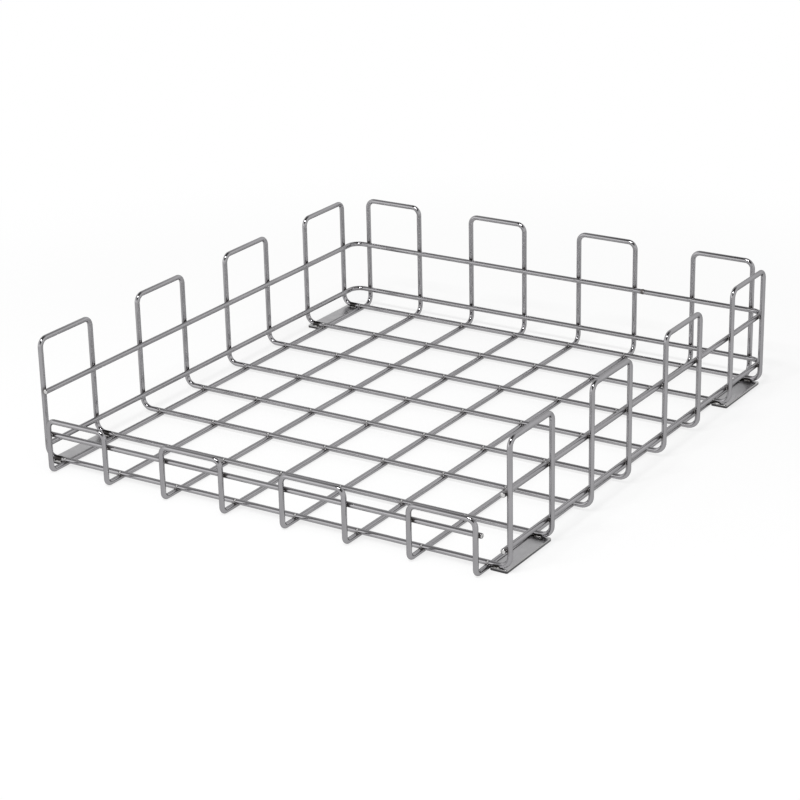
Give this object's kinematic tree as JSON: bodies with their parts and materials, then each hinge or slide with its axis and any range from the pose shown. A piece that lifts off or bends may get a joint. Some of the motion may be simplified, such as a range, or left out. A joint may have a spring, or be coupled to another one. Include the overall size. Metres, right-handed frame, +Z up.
{
  "type": "autoclave basket",
  "caption": "Open welded wire basket for an autoclave, with tall looped walls at the sides and back, a low front wall, inner rails and flat corner feet.",
  "frame": {"origin": "middle of the basket's footprint, at the level it stands on", "axes": "+X to the right along the low front wall, +Y from the low front wall to the back wall, +Z up"},
  "size_m": [0.505, 0.555, 0.124],
  "materials": {
    "wire_steel": "polished stainless steel wire",
    "foot_steel": "satin stainless steel flat bar"
  },
  "bodies": {
    "root": {"foot_back_left": "foot_steel", "foot_back_right": "foot_steel", "foot_front_left": "foot_steel", "foot_front_right": "foot_steel", "front_rail": "wire_steel", "long_hoop_1": "wire_steel", "long_hoop_2": "wire_steel", "long_hoop_3": "wire_steel", "long_hoop_4": "wire_steel", "lower_rail": "wire_steel", "middle_rail_left": "wire_steel", "middle_rail_right": "wire_steel", "side_hoop_1": "wire_steel", "side_hoop_2": "wire_steel", "side_hoop_3": "wire_steel", "side_hoop_4": "wire_steel"}
  },
  "joints": []
}
